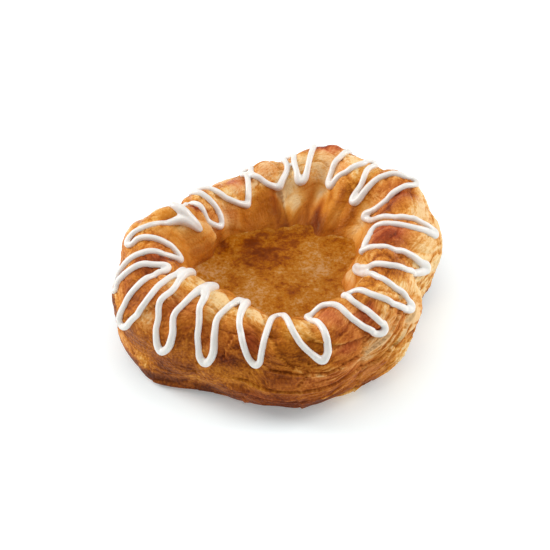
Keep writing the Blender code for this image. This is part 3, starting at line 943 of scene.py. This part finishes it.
class Nodes:
    """Short names for building one material."""

    def __init__(self, name):
        self.material = bpy.data.materials.new(name)
        self.material.use_nodes = True
        self.tree = self.material.node_tree
        self.shader = self.tree.nodes["Principled BSDF"]

    def put(self, socket, value):
        """Links a socket, or sets it to a number."""
        if isinstance(value, bpy.types.NodeSocket):
            self.tree.links.new(value, socket)
        else:
            socket.default_value = value

    def add(self, kind, **inputs):
        node = self.tree.nodes.new(kind)
        for key, value in inputs.items():
            self.put(node.inputs[key], value)
        return node

    def attribute(self, name, output="Fac"):
        node = self.tree.nodes.new("ShaderNodeAttribute")
        node.attribute_name = name
        return node.outputs[output]

    def math(self, operation, first, second):
        node = self.tree.nodes.new("ShaderNodeMath")
        node.operation = operation
        self.put(node.inputs[0], first)
        self.put(node.inputs[1], second)
        return node.outputs[0]

    def weighted(self, *terms):
        """Sum of values times their weights."""
        total = None
        for value, weight in terms:
            term = self.math("MULTIPLY", value, weight)
            total = term if total is None else self.math("ADD", total, term)
        return total

    def noise(self, vector, scale=1.0, detail=4.0, rough=0.6, stretch=(1, 1, 1)):
        place = self.add("ShaderNodeMapping", Vector=vector, Scale=stretch).outputs[0]
        made = self.add("ShaderNodeTexNoise", Vector=place, Scale=scale, Detail=detail, Roughness=rough)
        return made.outputs["Fac"]

    def ramp(self, value, stops):
        node = self.add("ShaderNodeValToRGB", Fac=value)
        elements = node.color_ramp.elements
        while len(elements) < len(stops):
            elements.new(0.5)
        for element, (place, colour) in zip(elements, stops):
            element.position = place
            element.color = (*colour, 1.0)
        return node.outputs["Color"]

    def mix(self, share, first, second):
        node = self.tree.nodes.new("ShaderNodeMix")
        node.data_type = "RGBA"
        self.put(node.inputs["Factor"], share)
        self.put(node.inputs[6], first)
        self.put(node.inputs[7], second)
        return node.outputs[2]

    def clamp(self, value):
        return self.add("ShaderNodeClamp", Value=value).outputs[0]

    def bump(self, height, strength, distance):
        node = self.add("ShaderNodeBump", Height=height, Strength=strength, Distance=distance)
        self.put(self.shader.inputs["Normal"], node.outputs[0])

    def finish(self, **settings):
        """Sets sockets of the shader, named with _ for a space, and gives the material."""
        for name, value in settings.items():
            self.put(self.shader.inputs[name.replace("_", " ")], value)
        return self.material


def crust_material():
    """Baked dough: golden to dark with reddish places, finely streaked along the layers; painted shade and
    highlight in its tone.
    """
    n = Nodes("baked_crust")
    flow = n.attribute("flow", "Vector")
    sheets = n.attribute("sheets")
    streaks = n.noise(flow, stretch=(0.25, 0.25, 0.9))
    fine = n.noise(flow, stretch=(0.8, 0.8, 2.0))
    blotch = n.noise(flow, scale=0.13, detail=3.0)
    speckle = n.noise(flow, scale=1.3, detail=2.0, rough=0.5)
    long_grain = n.weighted((streaks, 0.40), (fine, 0.60))
    round_grain = n.weighted((speckle, 0.60), (blotch, 0.40))
    plain = n.math("SUBTRACT", 1.0, sheets)
    grain = n.weighted((speckle, 0.40), (blotch, 0.20), (long_grain, sheets), (round_grain, plain))
    calm = n.math("SUBTRACT", 1.0, n.math("MULTIPLY", n.attribute("inner"), 0.75))
    streaked = n.math("MULTIPLY", n.math("SUBTRACT", grain, 0.8), calm)
    tone = n.math("ADD", n.attribute("brown_and_light"), streaked)
    n.bump(grain, strength=0.7, distance=0.0008)
    return n.finish(
        Base_Color=n.mix(n.clamp(n.attribute("red")), n.ramp(tone, CRUST_TONES), n.ramp(tone, RED_TONES)),
        Roughness=n.math("ADD", 0.27, n.math("MULTIPLY", n.attribute("wall"), 0.25)),
        IOR=1.3,
        Specular_Tint=(1.0, 0.66, 0.28, 1.0),
    )


def filling_material():
    """Glossy fruit: amber where it is clear or in painted shade, tan and speckled where it is clouded."""
    n = Nodes("apricot_filling")
    place = n.add("ShaderNodeTexCoord").outputs["Object"]
    blotch = n.noise(place, scale=160.0, detail=3.0)
    fine = n.noise(place, scale=950.0, rough=0.7)
    cloud_and_shade = n.attribute("cloud_and_shade")
    grit = n.clamp(n.math("ADD", 0.75, cloud_and_shade))
    specks = n.math("MULTIPLY", n.math("SUBTRACT", fine, 0.5), grit)
    tone = n.weighted((blotch, 0.5), (specks, 2.0))
    tone = n.math("ADD", tone, n.math("ADD", cloud_and_shade, 0.23))
    n.bump(fine, strength=0.4, distance=0.0005)
    return n.finish(
        Base_Color=n.ramp(tone, FILLING_TONES),
        Roughness=0.16,
        IOR=1.32,
        Specular_Tint=(1.0, 0.65, 0.25, 1.0),
    )


def icing_material():
    """Warm white sugar icing, slightly translucent."""
    n = Nodes("sugar_icing")
    place = n.add("ShaderNodeTexCoord").outputs["Object"]
    cloud = n.noise(place, scale=220.0, detail=2.0, rough=0.5)
    n.bump(cloud, strength=0.15, distance=0.0003)
    return n.finish(
        Base_Color=n.ramp(cloud, ICING_TONES),
        Roughness=0.28,
        Subsurface_Weight=0.15,
        Subsurface_Radius=(0.0010, 0.0008, 0.0006),
        Subsurface_Scale=1.0,
    )


def floor_material():
    """A dull pale floor with a faint glow of its own."""
    return Nodes("pale_floor").finish(
        Base_Color=(0.84, 0.90, 0.91, 1.0),
        Roughness=0.9,
        Specular_IOR_Level=0.0,
        Emission_Color=(0.93, 1.0, 1.0, 1.0),
        Emission_Strength=0.24,
    )


def dress(piece, node, material):
    """Gives a piece its material and puts it in the place of a CAD node."""
    piece.data.materials.clear()
    piece.data.materials.append(material)
    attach(piece, "root")
    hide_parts(node)


def make_floor():
    """The floor, a hair below the pastry."""
    mesh = bpy.data.meshes.new("floor")
    mesh.from_pydata(FLOOR_CORNERS, [], [(0, 1, 2, 3)])
    mesh.materials.append(floor_material())
    floor = make_object("floor", mesh)
    floor.location.z = -FLOOR_DROP


def add_area(name, angle, elevation, distance, size, power):
    """A round lamp that faces the pastry."""
    lamp = bpy.data.lights.new(name, "AREA")
    lamp.shape = "DISK"
    lamp.size = size
    lamp.energy = power
    made = make_object(name, lamp)
    up = math.radians(elevation)
    out = direction(angle, math.cos(up), math.sin(up))
    made.location = out * distance
    made.rotation_euler = out.to_track_quat("Z", "Y").to_euler()


def make_light():
    """A pale sky and three soft lamps."""
    world = bpy.data.worlds.new("studio")
    bpy.context.scene.world = world
    world.use_nodes = True
    background = world.node_tree.nodes["Background"]
    background.inputs["Color"].default_value = (1.0, 1.0, 1.0, 1.0)
    background.inputs["Strength"].default_value = 0.42
    for lamp in LAMPS:
        add_area(*lamp)
    bpy.context.scene.view_settings.view_transform = "Standard"


def make_camera():
    """The camera, looking down on the pastry from the front."""
    lens = bpy.data.cameras.new("camera")
    lens.lens = 119.8
    lens.sensor_width = 36.0
    made = make_object("camera", lens)
    tilt = math.radians(CAMERA_ELEVATION)
    made.location = Vector(TARGET) + CAMERA_DISTANCE * Vector((0.0, -math.cos(tilt), math.sin(tilt)))
    made.rotation_euler = (math.pi / 2 - tilt, 0.0, 0.0)
    bpy.context.scene.camera = made


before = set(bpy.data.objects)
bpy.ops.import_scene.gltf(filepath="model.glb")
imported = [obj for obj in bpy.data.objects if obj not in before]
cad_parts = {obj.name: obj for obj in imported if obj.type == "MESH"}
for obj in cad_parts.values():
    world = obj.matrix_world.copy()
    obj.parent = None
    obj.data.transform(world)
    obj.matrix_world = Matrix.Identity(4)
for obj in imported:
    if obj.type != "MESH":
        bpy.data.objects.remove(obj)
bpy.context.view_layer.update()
crust, ring = make_crust(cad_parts["pastry"])
dress(crust, "pastry", crust_material())
filling = make_filling(crust)
dress(filling, "filling", filling_material())
icing = make_icing(crust, ring)
dress(icing, "icing", icing_material())
make_floor()
make_light()
make_camera()
